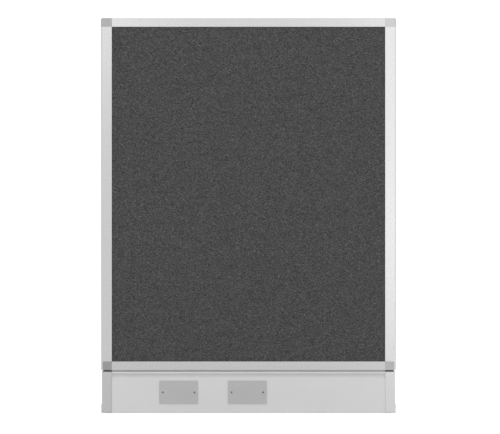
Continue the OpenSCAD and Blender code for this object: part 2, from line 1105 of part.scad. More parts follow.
// Glide base: a flat foot with a socket for the stem's ball.
module glide() {
  edge_r = 1.5;
  translate([glide_u, 0, 0])
    difference() {
      union() {
        rotate_extrude() {
          square([glide_r - edge_r, glide_t]);
          square([glide_r, glide_t - edge_r]);
          translate([glide_r - edge_r, glide_t - edge_r])
            circle(edge_r);
        }
        cylinder(h = hub_z, r = hub_r);
      }
      translate([0, 0, ball_z])
        sphere(ball_r + ball_play);
    }
}

module left_glide() {
  color(black)
    on_left()
      glide();
}

module right_glide() {
  color(black)
    on_right()
      glide();
}

module stem() {
  hex_af = 13;
  slot_cut = 1.6;
  translate([glide_u, 0, 0])
    difference() {
      union() {
        translate([0, 0, ball_z])
          sphere(ball_r);
        translate([0, 0, ball_z])
          cylinder(h = stem_l, r = stem_r);
        translate([0, 0, hex_z0])
          cylinder(h = hex_h, r = hex_af / sqrt(3), $fn = 6);
      }
      translate([-stem_r - over, -slot_cut / 2, ball_z + stem_l - 2 * slot_cut])
        cube([2 * (stem_r + over), slot_cut, 2 * slot_cut + over]);
    }
}

module left_stem() {
  color(steel)
    on_left()
      stem();
}

module right_stem() {
  color(steel)
    on_right()
      stem();
}

// Cover section at the front: hook over the rod, neck, shoulder, face, return and lip.
module cover_section() {
  slit = hook_r * 2;
  difference() {
    translate([-hinge_y, hinge_z])
      circle(hook_r);
    translate([-hinge_y, hinge_z])
      circle(rod_r + hook_play);
    translate([-hinge_y, hinge_z])
      polygon([
        [0, 0],
        [slit * cos(120), slit * sin(120)],
        [0, slit],
        [slit, slit],
        [slit, 0],
        [slit, slit * sin(-40)],
        [slit * cos(-40), slit * sin(-40)]
      ]);
  }
  translate([-hinge_y - cover_wall / 2, shoulder_z + shoulder_r - cover_wall])
    square([cover_wall, hinge_z - rod_r - hook_play - shoulder_z - shoulder_r + cover_wall - 0.2]);
  intersection() {
    difference() {
      translate([shoulder_r - half_t, shoulder_z])
        circle(shoulder_r);
      translate([shoulder_r - half_t, shoulder_z])
        circle(shoulder_r - cover_wall);
    }
    translate([-half_t, shoulder_z])
      square([shoulder_r, shoulder_r]);
  }
  translate([-half_t, floor_gap])
    square([cover_wall, shoulder_z - floor_gap]);
  translate([-half_t, floor_gap])
    square([return_d, cover_wall]);
  translate([return_d - cover_wall - half_t, floor_gap])
    square([cover_wall, lip_top_z - floor_gap]);
}

module cover() {
  difference() {
    along_x(2 * cover_x)
      cover_section();
    for (x = plate_x)
      translate([x, 0, plate_z]) {
        along_y(-half_t - over, -half_t + cover_wall + over)
          square([cutout_w, cutout_h], center = true);
        for (s = [-1, 1])
          translate([s * plate_screw_pitch / 2, 0, 0])
            along_y(-half_t - over, -half_t + cover_wall + over)
              circle(plate_screw_r + 2 * plate_screw_play);
      }
  }
}

module front_cover() {
  color(aluminium)
    cover();
}

module rear_cover() {
  color(aluminium)
    turned()
      cover();
}

// Plate screw from its head rim at 0 back along +Y, in a countersink.
module plate_screw(play) {
  thread_l = 5.5;
  head_d = 1;
  rotate([-90, 0, 0]) {
    cylinder(h = head_d, r1 = plate_screw_head_r + play, r2 = plate_screw_r + play);
    cylinder(h = thread_l, r = plate_screw_r + play);
  }
}

module plate_screw_places() {
  for (s = [-1, 1])
    translate([s * plate_screw_pitch / 2, -half_t - plate_t, 0])
      children();
}

module blank_plate() {
  difference() {
    along_y(-half_t - plate_t, -half_t)
      rounded_square(plate_w, plate_h, plate_r);
    along_y(-half_t - plate_t + plate_skin, -half_t + over)
      rounded_square(plate_w - 2 * plate_rim, plate_h - 2 * plate_rim, plate_r / 2);
    plate_screw_places()
      plate_screw(plate_screw_play);
  }
}

module at_plate(i) {
  translate([plate_x[i], 0, plate_z])
    children();
}

module front_left_plate() {
  color(grey)
    at_plate(0)
      blank_plate();
}

module front_right_plate() {
  color(grey)
    at_plate(1)
      blank_plate();
}

module rear_left_plate() {
  color(grey)
    turned()
      at_plate(0)
        blank_plate();
}

module rear_right_plate() {
  color(grey)
    turned()
      at_plate(1)
        blank_plate();
}

// Oval-headed slotted screws of one cover.
module plate_screws() {
  dome_r = 5.5;
  dome_h = 0.95;
  slot_cut = 0.8;
  for (i = [0, 1])
    at_plate(i)
      plate_screw_places()
        difference() {
          union() {
            plate_screw(0);
            intersection() {
              translate([0, dome_r - dome_h, 0])
                sphere(dome_r);
              rotate([90, 0, 0])
                cylinder(h = dome_h, r = plate_screw_head_r);
            }
          }
          translate([-plate_screw_head_r - over, -dome_h - over, -slot_cut / 2])
            cube([2 * (plate_screw_head_r + over), over + dome_h + slot_cut / 2, slot_cut]);
        }
}

module front_plate_screws() {
  color(steel)
    plate_screws();
}

module rear_plate_screws() {
  color(steel)
    turned()
      plate_screws();
}

// Spring-steel clip nuts pushed over the edges of the outlet cut-outs.
module clip_nuts() {
  front_y = -half_t - clip_play - clip_t;
  back_y = -half_t + cover_wall + clip_play;
  edge_x = cutout_w / 2 - clip_play - clip_t;
  collar_r = plate_screw_r + 1.2;
  collar_h = 1.4;
  reach = plate_screw_pitch / 2 - edge_x + plate_screw_r + 2;
  for (i = [0, 1], s = [0, 180])
    at_plate(i)
      mirror([s / 180, 0, 0])
        difference() {
          union() {
            translate([edge_x, front_y, -clip_w / 2])
              cube([reach, clip_t, clip_w]);
            translate([edge_x, front_y, -clip_w / 2])
              cube([clip_t, back_y - front_y + clip_t, clip_w]);
            translate([edge_x, back_y, -clip_w / 2])
              cube([reach, clip_t, clip_w]);
            translate([plate_screw_pitch / 2, back_y, 0])
              rotate([-90, 0, 0])
                cylinder(h = clip_t + collar_h, r = collar_r);
          }
          translate([plate_screw_pitch / 2, front_y - over, 0])
            rotate([-90, 0, 0])
              cylinder(h = back_y - front_y + clip_t + collar_h + 2 * over, r = plate_screw_r + thread_play);
        }
}

module front_clip_nuts() {
  color(steel)
    clip_nuts();
}

module rear_clip_nuts() {
  color(steel)
    turned()
      clip_nuts();
}

// Spring catch under the shelf, its rolled nose just above the cover's lip.
module catches() {
  nose_z = lip_top_z + catch_play + catch_nose_r;
  nose_y = -half_t + return_d - cover_wall / 2;
  catch_places()
    difference() {
      union() {
        translate([-catch_w / 2, nose_y - catch_t / 2, shelf_z - catch_t])
          cube([catch_w, catch_reach, catch_t]);
        translate([-catch_w / 2, nose_y - catch_t / 2, nose_z])
          cube([catch_w, catch_t, shelf_z - nose_z]);
        translate([0, nose_y, nose_z])
          along_x(catch_w)
            circle(catch_nose_r);
      }
      translate([0, -lip_y + over + rivet_back, shelf_z - catch_t - over])
        cylinder(h = catch_t + 2 * over, r = rivet_r + thread_play);
    }
}

module front_catches() {
  color(steel)
    catches();
}

module rear_catches() {
  color(steel)
    turned()
      catches();
}

module catch_rivets() {
  stack = catch_t + spine_wall;
  color(aluminium)
    for (a = [0, 180])
      rotate([0, 0, a])
        catch_places()
          translate([0, -lip_y + over + rivet_back, shelf_z - catch_t]) {
            translate([0, 0, -rivet_head_h])
              cylinder(h = rivet_head_h, r = rivet_head_r);
            cylinder(h = stack, r = rivet_r);
            translate([0, 0, stack])
              cylinder(h = rivet_head_h, r = rivet_head_r);
          }
}

left_stile();
right_stile();
top_rail();
bottom_rail();
top_left_block();
top_right_block();
bottom_left_block();
bottom_right_block();
stile_screws();
rail_screws();
link_nuts();
front_fabric();
rear_fabric();
front_board();
rear_board();
honeycomb();
left_batten();
right_batten();
top_batten();
bottom_batten();
setting_pads();
spine();
divider();
spine_screws();
rail_nuts();
left_leg();
right_leg();
leg_bolts();
leg_inserts();
left_grommet();
right_grommet();
left_bracket();
right_bracket();
bracket_screws();
glide_nuts();
left_glide();
right_glide();
left_stem();
right_stem();
front_cover();
rear_cover();
front_left_plate();
front_right_plate();
rear_left_plate();
rear_right_plate();
front_plate_screws();
rear_plate_screws();
front_clip_nuts();
rear_clip_nuts();
front_catches();
rear_catches();
catch_rivets();
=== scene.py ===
import json
import math
import bpy
import bmesh
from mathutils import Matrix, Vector, noise

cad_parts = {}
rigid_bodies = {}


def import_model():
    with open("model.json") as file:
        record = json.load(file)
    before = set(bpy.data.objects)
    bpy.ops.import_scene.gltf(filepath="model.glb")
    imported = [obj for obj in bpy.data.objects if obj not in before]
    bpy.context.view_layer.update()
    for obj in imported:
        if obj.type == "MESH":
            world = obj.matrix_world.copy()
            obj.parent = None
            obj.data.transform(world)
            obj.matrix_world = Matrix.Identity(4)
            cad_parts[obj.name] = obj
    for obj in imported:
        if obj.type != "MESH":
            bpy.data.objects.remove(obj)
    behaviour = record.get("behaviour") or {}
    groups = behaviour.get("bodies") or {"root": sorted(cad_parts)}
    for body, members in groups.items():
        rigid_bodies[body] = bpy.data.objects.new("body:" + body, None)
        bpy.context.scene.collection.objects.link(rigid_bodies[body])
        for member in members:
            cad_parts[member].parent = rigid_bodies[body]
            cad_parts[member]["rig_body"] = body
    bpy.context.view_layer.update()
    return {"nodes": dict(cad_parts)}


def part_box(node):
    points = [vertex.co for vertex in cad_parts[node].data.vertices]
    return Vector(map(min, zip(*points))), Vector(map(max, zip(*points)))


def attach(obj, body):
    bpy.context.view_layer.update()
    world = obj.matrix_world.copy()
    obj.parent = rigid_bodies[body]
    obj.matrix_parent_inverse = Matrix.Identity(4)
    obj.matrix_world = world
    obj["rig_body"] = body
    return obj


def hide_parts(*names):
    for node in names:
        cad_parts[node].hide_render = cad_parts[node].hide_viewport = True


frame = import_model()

# ---------------------------------------------------------------------------
# Stiles: two upright aluminium extrusions, each with a rounded outer nose and
# the connector slot down its side. Cut to length and notched at the foot.
# ---------------------------------------------------------------------------

def make_active(piece):
    bpy.ops.object.select_all(action="DESELECT")
    piece.select_set(True)
    bpy.context.view_layer.objects.active = piece


def soften_edges(piece, width, segments=2, angle=32):
    """Round over the sharp edges of a merged shape by the given width."""
    make_active(piece)
    bevel = piece.modifiers.new("edge_round", "BEVEL")
    bevel.width = width
    bevel.segments = segments
    bevel.limit_method = "ANGLE"
    bevel.angle_limit = math.radians(angle)
    bevel.use_clamp_overlap = False
    bpy.ops.object.modifier_apply(modifier=bevel.name)
    bpy.ops.object.shade_smooth_by_angle(angle=math.radians(40))
    flats = piece.modifiers.new("flat_faces_stay_flat", "WEIGHTED_NORMAL")
    flats.mode = "FACE_AREA"
    flats.weight = 100
    flats.keep_sharp = True
    bpy.ops.object.modifier_apply(modifier=flats.name)


def finished_copy(node, width, segments=2, angle=32):
    """The machined part with its real edges: a merged copy whose arrises are broken."""
    source = frame["nodes"][node]
    piece = source.copy()
    piece.data = source.data.copy()
    piece.name = node + "_made"
    for key in list(piece.keys()):
        if key.startswith("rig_"):
            del piece[key]
    body = source["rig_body"]
    piece.parent = None
    bpy.context.scene.collection.objects.link(piece)
    make_active(piece)
    bpy.ops.object.mode_set(mode="EDIT")
    bpy.ops.mesh.select_all(action="SELECT")
    bpy.ops.mesh.remove_doubles(threshold=0.000002)
    bpy.ops.mesh.dissolve_limited(angle_limit=math.radians(0.4))
    bpy.ops.mesh.normals_make_consistent(inside=False)
    bpy.ops.object.mode_set(mode="OBJECT")
    soften_edges(piece, width, segments, angle)
    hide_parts(node)
    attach(piece, body)
    return piece


def new_finish(name, color, metallic, roughness):
    """A material with its shader's fixed values on the shader itself."""
    material = bpy.data.materials.new(name)
    material.use_nodes = True
    tree = material.node_tree
    shader = tree.nodes["Principled BSDF"]
    shader.inputs["Base Color"].default_value = (*color, 1)
    shader.inputs["Metallic"].default_value = metallic
    shader.inputs["Roughness"].default_value = roughness
    return material, tree, shader


def dress(thing, material):
    """Give a piece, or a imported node, its finish."""
    if isinstance(thing, str):
        thing = frame["nodes"][thing]
    if thing.material_slots:
        for slot in thing.material_slots:
            slot.material = material
    else:
        thing.data.materials.append(material)


def surface_vector(tree, scale, kind="Object"):
    """Object coordinates stretched by scale, so that a pattern can run along a piece."""
    where = tree.nodes.new("ShaderNodeTexCoord")
    stretch = tree.nodes.new("ShaderNodeMapping")
    stretch.inputs["Scale"].default_value = scale
    tree.links.new(where.outputs[kind], stretch.inputs["Vector"])
    return stretch.outputs["Vector"]


def group_with(name, inputs, outputs):
    """An empty node group with named sockets: (name, socket type, value) each."""
    group = bpy.data.node_groups.new(name, "ShaderNodeTree")
    for title, kind, value in inputs:
        socket = group.interface.new_socket(title, in_out="INPUT", socket_type=kind)
        if value is not None:
            socket.default_value = value
    for title, kind in outputs:
        group.interface.new_socket(title, in_out="OUTPUT", socket_type=kind)
    return group, group.nodes.new("NodeGroupInput"), group.nodes.new("NodeGroupOutput")


def place_group(tree, group, **values):
    node = tree.nodes.new("ShaderNodeGroup")
    node.node_tree = group
    for title, value in values.items():
        node.inputs[title.replace("_", " ")].default_value = value
    return node


def math_node(tree, operation, a, b=None, clamp=False):
    node = tree.nodes.new("ShaderNodeMath")
    node.operation = operation
    node.use_clamp = clamp
    for socket, value in zip(node.inputs, (a, b)):
        if value is None:
            continue
        if isinstance(value, (int, float)):
            socket.default_value = value
        else:
            tree.links.new(value, socket)
    return node.outputs[0]


# Drawn grain: long fine lines from the die, with broad soft bands.
drawn_grain, grain_in, grain_out = group_with(
    "drawn_grain",
    [("Vector", "NodeSocketVector", None)],
    [("Lines", "NodeSocketFloat"), ("Bands", "NodeSocketFloat")],
)
fine_lines = drawn_grain.nodes.new("ShaderNodeTexNoise")
fine_lines.inputs["Scale"].default_value = 1.0
fine_lines.inputs["Detail"].default_value = 3.0
soft_bands = drawn_grain.nodes.new("ShaderNodeTexNoise")
soft_bands.inputs["Scale"].default_value = 0.06
soft_bands.inputs["Detail"].default_value = 1.0
drawn_grain.links.new(grain_in.outputs["Vector"], fine_lines.inputs["Vector"])
drawn_grain.links.new(grain_in.outputs["Vector"], soft_bands.inputs["Vector"])
drawn_grain.links.new(fine_lines.outputs["Fac"], grain_out.inputs["Lines"])
drawn_grain.links.new(soft_bands.outputs["Fac"], grain_out.inputs["Bands"])

# Edge wear: where the surface turns sharply it is rubbed brighter, in patches. On the plate screws the
# same mask also carries a painted highlight.
edge_wear, wear_in, wear_out = group_with(
    "edge_wear",
    [("Reach", "NodeSocketFloat", 0.0006), ("Patchiness", "NodeSocketFloat", 60.0)],
    [("Mask", "NodeSocketFloat")],
)
round_normal = edge_wear.nodes.new("ShaderNodeBevel")
round_normal.samples = 4
true_normal = edge_wear.nodes.new("ShaderNodeNewGeometry")
facing = edge_wear.nodes.new("ShaderNodeVectorMath")
facing.operation = "DOT_PRODUCT"
edge_wear.links.new(wear_in.outputs["Reach"], round_normal.inputs["Radius"])
edge_wear.links.new(round_normal.outputs["Normal"], facing.inputs[0])
edge_wear.links.new(true_normal.outputs["Normal"], facing.inputs[1])
wear_place = edge_wear.nodes.new("ShaderNodeTexCoord")
wear_patches = edge_wear.nodes.new("ShaderNodeTexNoise")
wear_patches.inputs["Detail"].default_value = 3.0
edge_wear.links.new(wear_place.outputs["Object"], wear_patches.inputs["Vector"])
edge_wear.links.new(wear_in.outputs["Patchiness"], wear_patches.inputs["Scale"])
turned_away = math_node(edge_wear, "SUBTRACT", 1.0, facing.outputs["Value"])
strong_edge = math_node(edge_wear, "MULTIPLY", turned_away, 4.0, clamp=True)
patched = math_node(edge_wear, "MULTIPLY", strong_edge, wear_patches.outputs["Fac"])
edge_wear.links.new(patched, wear_out.inputs["Mask"])


def add_grain(tree, shader, run, color, dark, rough, depth):
    """Drawn lines along one axis: colour bands, streaked roughness and a fine relief."""
    across = 2600.0
    scale = [across, across, across]
    scale["XYZ".index(run)] = 12.0
    grain = place_group(tree, drawn_grain)
    tree.links.new(surface_vector(tree, scale), grain.inputs["Vector"])
    shade = tree.nodes.new("ShaderNodeMix")
    shade.data_type = "RGBA"
    shade.inputs["A"].default_value = (*dark, 1)
    shade.inputs["B"].default_value = (*color, 1)
    both = math_node(tree, "ADD", math_node(tree, "MULTIPLY", grain.outputs["Lines"], 0.5),
                     math_node(tree, "MULTIPLY", grain.outputs["Bands"], 0.5))
    tree.links.new(both, shade.inputs["Factor"])
    wear = place_group(tree, edge_wear)
    rubbed = tree.nodes.new("ShaderNodeMix")
    rubbed.data_type = "RGBA"
    rubbed.inputs["B"].default_value = (*(min(1, part * 1.15) for part in color), 1)
    tree.links.new(wear.outputs["Mask"], rubbed.inputs["Factor"])
    tree.links.new(shade.outputs["Result"], rubbed.inputs["A"])
    tree.links.new(rubbed.outputs["Result"], shader.inputs["Base Color"])
    streak = tree.nodes.new("ShaderNodeMapRange")
    streak.inputs["From Min"].default_value = 0.3
    streak.inputs["From Max"].default_value = 0.7
    streak.inputs["To Min"].default_value = rough - 0.04
    streak.inputs["To Max"].default_value = rough + 0.05
    tree.links.new(grain.outputs["Lines"], streak.inputs["Value"])
    tree.links.new(streak.outputs["Result"], shader.inputs["Roughness"])
    relief = tree.nodes.new("ShaderNodeBump")
    relief.inputs["Strength"].default_value = 0.25
    relief.inputs["Distance"].default_value = depth
    tree.links.new(grain.outputs["Lines"], relief.inputs["Height"])
    tree.links.new(relief.outputs["Normal"], shader.inputs["Normal"])


# The right stile is toned lighter than the left: painted light, standing for the lamps lighting the
# right side more.
for name, lit_tone in (("left_stile", 0.73), ("right_stile", 0.815)):
    stile_finish, tree, shader = new_finish(name + "_satin_anodised", (lit_tone, lit_tone, lit_tone), 1.0, 0.26)
    add_grain(tree, shader, "Z", (lit_tone + 0.02,) * 3, (lit_tone - 0.04,) * 3, 0.26, 0.00003)
    stile = finished_copy(name, 0.00025)
    dress(stile, stile_finish)

# ---------------------------------------------------------------------------
# Rails: the same aluminium drawn with a shallower chamber. Cut square and
# pushed over the tenons of the corner blocks.
# ---------------------------------------------------------------------------
# The top rail is toned lighter than the bottom rail: painted light, as though more light falls on the
# top of the frame.
for name, lit_tone in (("top_rail", 0.765), ("bottom_rail", 0.695)):
    rail_finish, tree, shader = new_finish(name + "_satin_anodised", (lit_tone, lit_tone, lit_tone), 1.0, 0.26)
    add_grain(tree, shader, "X", (lit_tone + 0.02,) * 3, (lit_tone - 0.04,) * 3, 0.26, 0.00003)
    rail = finished_copy(name, 0.00025)
    dress(rail, rail_finish)

# ---------------------------------------------------------------------------
# Corner blocks: moulded grey plastic with a fine spark-textured face. Their
# tenons are hidden in the stiles and rails.
# ---------------------------------------------------------------------------

# Moulded texture: fine pits from the mould with a slow change of tone.
moulded_skin, skin_in, skin_out = group_with(
    "moulded_skin",
    [("Grain", "NodeSocketFloat", 2200.0)],
    [("Pits", "NodeSocketFloat"), ("Cloud", "NodeSocketFloat")],
)
skin_place = moulded_skin.nodes.new("ShaderNodeTexCoord")
pits = moulded_skin.nodes.new("ShaderNodeTexNoise")
pits.inputs["Detail"].default_value = 2.0
cloud = moulded_skin.nodes.new("ShaderNodeTexNoise")
cloud.inputs["Scale"].default_value = 22.0
cloud.inputs["Detail"].default_value = 3.0
moulded_skin.links.new(skin_place.outputs["Object"], pits.inputs["Vector"])
moulded_skin.links.new(skin_in.outputs["Grain"], pits.inputs["Scale"])
moulded_skin.links.new(skin_place.outputs["Object"], cloud.inputs["Vector"])
moulded_skin.links.new(pits.outputs["Fac"], skin_out.inputs["Pits"])
moulded_skin.links.new(cloud.outputs["Fac"], skin_out.inputs["Cloud"])


def add_moulded_skin(tree, shader, color, dark, rough, depth, worn=None):
    skin = place_group(tree, moulded_skin)
    shade = tree.nodes.new("ShaderNodeMix")
    shade.data_type = "RGBA"
    shade.inputs["A"].default_value = (*dark, 1)
    shade.inputs["B"].default_value = (*color, 1)
    tree.links.new(skin.outputs["Cloud"], shade.inputs["Factor"])
    last = shade.outputs["Result"]
    if worn:
        wear = place_group(tree, edge_wear)
        rubbed = tree.nodes.new("ShaderNodeMix")
        rubbed.data_type = "RGBA"
        rubbed.inputs["B"].default_value = (*worn, 1)
        tree.links.new(wear.outputs["Mask"], rubbed.inputs["Factor"])
        tree.links.new(last, rubbed.inputs["A"])
        last = rubbed.outputs["Result"]
    tree.links.new(last, shader.inputs["Base Color"])
    spread = tree.nodes.new("ShaderNodeMapRange")
    spread.inputs["To Min"].default_value = rough - 0.08
    spread.inputs["To Max"].default_value = rough + 0.08
    tree.links.new(skin.outputs["Cloud"], spread.inputs["Value"])
    tree.links.new(spread.outputs["Result"], shader.inputs["Roughness"])
    relief = tree.nodes.new("ShaderNodeBump")
    relief.inputs["Strength"].default_value = 0.3
    relief.inputs["Distance"].default_value = depth
    tree.links.new(skin.outputs["Pits"], relief.inputs["Height"])
    tree.links.new(relief.outputs["Normal"], shader.inputs["Normal"])


# The right blocks are toned lighter than the left, and each top block lighter than the one below it:
# painted light.
for name, lit_tone in (("top_left_block", 0.475), ("top_right_block", 0.655),
                   ("bottom_left_block", 0.388), ("bottom_right_block", 0.532)):
    block_finish, tree, shader = new_finish(name + "_silver_plastic", (lit_tone, lit_tone, lit_tone), 0.7, 0.36)
    add_moulded_skin(tree, shader, (lit_tone + 0.03,) * 3, (lit_tone - 0.03,) * 3, 0.36, 0.00004,
                     worn=(min(1, lit_tone + 0.1),) * 3)
    block = finished_copy(name, 0.0003)
    dress(block, block_finish)

# ---------------------------------------------------------------------------
# Screws, rivet nuts and bolts: zinc-plated steel, slightly mottled. Cold headed
# with rolled threads, and driven or pressed into the pieces that they hold.
# ---------------------------------------------------------------------------
zinc_finish, tree, shader = new_finish("zinc_plate", (0.6, 0.61, 0.62), 1.0, 0.34)
mottle = tree.nodes.new("ShaderNodeTexNoise")
mottle.inputs["Scale"].default_value = 420.0
mottle.inputs["Detail"].default_value = 4.0
tree.links.new(surface_vector(tree, (1, 1, 1)), mottle.inputs["Vector"])
passivation = tree.nodes.new("ShaderNodeValToRGB")
passivation.color_ramp.elements[0].position = 0.35
passivation.color_ramp.elements[0].color = (0.5, 0.51, 0.52, 1)
passivation.color_ramp.elements[1].position = 0.7
passivation.color_ramp.elements[1].color = (0.68, 0.69, 0.7, 1)
tree.links.new(mottle.outputs["Fac"], passivation.inputs["Fac"])
tree.links.new(passivation.outputs["Color"], shader.inputs["Base Color"])
dulling = tree.nodes.new("ShaderNodeMapRange")
dulling.inputs["To Min"].default_value = 0.26
dulling.inputs["To Max"].default_value = 0.46
tree.links.new(mottle.outputs["Fac"], dulling.inputs["Value"])
tree.links.new(dulling.outputs["Result"], shader.inputs["Roughness"])
for name in ("stile_screws", "rail_screws", "link_nuts", "spine_screws", "rail_nuts",
             "leg_bolts", "bracket_screws", "glide_nuts"):
    fastener = finished_copy(name, 0.0001, segments=1)
    dress(fastener, zinc_finish)

# ---------------------------------------------------------------------------
# Upholstery cloth: heathered plain weave in charcoal, pulled flat over the
# board, rounded at its edge and turned down inside the frame's channel.
# ---------------------------------------------------------------------------

# Plain weave on cloth coordinates in metres: relief, and the tone of each yarn.
plain_weave, weave_in, weave_out = group_with(
    "plain_weave",
    [("Cloth", "NodeSocketVector", None), ("Yarns per metre", "NodeSocketFloat", 620.0),
     ("Slub length", "NodeSocketFloat", 3.4)],
    [("Height", "NodeSocketFloat"), ("Tone", "NodeSocketFloat")],
)
counted = plain_weave.nodes.new("ShaderNodeVectorMath")
counted.operation = "SCALE"
plain_weave.links.new(weave_in.outputs["Cloth"], counted.inputs[0])
plain_weave.links.new(weave_in.outputs["Yarns per metre"], counted.inputs["Scale"])
apart = plain_weave.nodes.new("ShaderNodeSeparateXYZ")
plain_weave.links.new(counted.outputs["Vector"], apart.inputs["Vector"])
across, along = apart.outputs["X"], apart.outputs["Y"]


def yarn_tone(tree, side, run, offset):
    """One random tone per yarn, changing slowly along it as the slubs do."""
    place = tree.nodes.new("ShaderNodeCombineXYZ")
    tree.links.new(math_node(tree, "FLOOR", side), place.inputs["X"])
    tree.links.new(math_node(tree, "DIVIDE", run, weave_in.outputs["Slub length"]), place.inputs["Y"])
    place.inputs["Z"].default_value = offset
    slubs = tree.nodes.new("ShaderNodeTexNoise")
    slubs.inputs["Scale"].default_value = 1.0
    slubs.inputs["Detail"].default_value = 1.0
    spread = tree.nodes.new("ShaderNodeVectorMath")
    spread.operation = "MULTIPLY"
    spread.inputs[1].default_value = (7.31, 1.0, 1.0)
    tree.links.new(place.outputs["Vector"], spread.inputs[0])
    tree.links.new(spread.outputs["Vector"], slubs.inputs["Vector"])
    return slubs.outputs["Fac"]


def yarn_height(tree, side, run):
    """A round yarn that arches over the one it crosses."""
    crown = math_node(tree, "SINE", math_node(tree, "MULTIPLY", math_node(tree, "FRACT", side), math.pi))
    arch = math_node(tree, "SINE", math_node(tree, "MULTIPLY", math_node(tree, "FRACT", run), math.pi))
    raised = math_node(tree, "ADD", math_node(tree, "MULTIPLY", arch, 0.6), 0.4)
    return math_node(tree, "MULTIPLY", crown, raised)


parity = math_node(plain_weave, "MODULO", math_node(
    plain_weave, "ADD", math_node(plain_weave, "ABSOLUTE", math_node(plain_weave, "FLOOR", across)),
    math_node(plain_weave, "ABSOLUTE", math_node(plain_weave, "FLOOR", along))), 2.0)
warp_up = math_node(plain_weave, "GREATER_THAN", parity, 0.5)
weave_height = plain_weave.nodes.new("ShaderNodeMix")
weave_tone = plain_weave.nodes.new("ShaderNodeMix")
for mix in (weave_height, weave_tone):
    plain_weave.links.new(warp_up, mix.inputs["Factor"])
plain_weave.links.new(yarn_height(plain_weave, across, along), weave_height.inputs["B"])
plain_weave.links.new(yarn_height(plain_weave, along, across), weave_height.inputs["A"])
plain_weave.links.new(yarn_tone(plain_weave, across, along, 0.0), weave_tone.inputs["B"])
plain_weave.links.new(yarn_tone(plain_weave, along, across, 43.7), weave_tone.inputs["A"])
plain_weave.links.new(weave_height.outputs["Result"], weave_out.inputs["Height"])
plain_weave.links.new(weave_tone.outputs["Result"], weave_out.inputs["Tone"])

cloth_finish, tree, shader = new_finish("charcoal_tweed", (0.07, 0.07, 0.07), 0.0, 0.92)
shader.inputs["Sheen Weight"].default_value = 0.12
shader.inputs["Sheen Roughness"].default_value = 0.5
weave = place_group(tree, plain_weave)
# Hand-fed yarns wander by a fraction of their own width.
flat_cloth = surface_vector(tree, (1, 1, 1), "UV")
wander = tree.nodes.new("ShaderNodeTexNoise")
wander.inputs["Scale"].default_value = 340.0
wander.inputs["Detail"].default_value = 2.0
tree.links.new(flat_cloth, wander.inputs["Vector"])
drift = tree.nodes.new("ShaderNodeVectorMath")
drift.operation = "MULTIPLY_ADD"
drift.inputs[1].default_value = (0.0022, 0.0022, 0.0)
tree.links.new(wander.outputs["Color"], drift.inputs[0])
tree.links.new(flat_cloth, drift.inputs[2])
tree.links.new(drift.outputs["Vector"], weave.inputs["Cloth"])
yarn_colors = tree.nodes.new("ShaderNodeValToRGB")
yarn_colors.color_ramp.elements[0].position = 0.28
yarn_colors.color_ramp.elements[0].color = (0.0055, 0.0055, 0.0055, 1)
yarn_colors.color_ramp.elements[1].position = 0.76
yarn_colors.color_ramp.elements[1].color = (0.21, 0.21, 0.21, 1)
middle_yarn = yarn_colors.color_ramp.elements.new(0.5)
middle_yarn.color = (0.07, 0.07, 0.07, 1)
tree.links.new(weave.outputs["Tone"], yarn_colors.inputs["Fac"])
# The yarn colour is multiplied down in the weave's hollows and up on the yarn crowns: painted shade and
# painted highlight.
shadowed = tree.nodes.new("ShaderNodeMix")
shadowed.data_type = "RGBA"
shadowed.blend_type = "MULTIPLY"
shadowed.inputs["Factor"].default_value = 1.0
weave_shade_and_highlight = tree.nodes.new("ShaderNodeMapRange")
weave_shade_and_highlight.inputs["To Min"].default_value = 0.3
weave_shade_and_highlight.inputs["To Max"].default_value = 1.45
tree.links.new(weave.outputs["Height"], weave_shade_and_highlight.inputs["Value"])
tree.links.new(yarn_colors.outputs["Color"], shadowed.inputs["A"])
tree.links.new(weave_shade_and_highlight.outputs["Result"], shadowed.inputs["B"])
fibres = tree.nodes.new("ShaderNodeTexNoise")
fibres.inputs["Scale"].default_value = 3200.0
fibres.inputs["Detail"].default_value = 3.0
tree.links.new(flat_cloth, fibres.inputs["Vector"])
nap = tree.nodes.new("ShaderNodeMapRange")
nap.inputs["From Min"].default_value = 0.3
nap.inputs["From Max"].default_value = 0.7
nap.inputs["To Min"].default_value = 0.6
nap.inputs["To Max"].default_value = 1.4
tree.links.new(fibres.outputs["Fac"], nap.inputs["Value"])
hairy = tree.nodes.new("ShaderNodeMix")
hairy.data_type = "RGBA"
hairy.blend_type = "MULTIPLY"
hairy.inputs["Factor"].default_value = 1.0
tree.links.new(shadowed.outputs["Result"], hairy.inputs["A"])
tree.links.new(nap.outputs["Result"], hairy.inputs["B"])
tree.links.new(hairy.outputs["Result"], shader.inputs["Base Color"])
weave_relief = tree.nodes.new("ShaderNodeBump")
weave_relief.inputs["Strength"].default_value = 0.5
weave_relief.inputs["Distance"].default_value = 0.0004
tree.links.new(weave.outputs["Height"], weave_relief.inputs["Height"])
tree.links.new(weave_relief.outputs["Normal"], shader.inputs["Normal"])


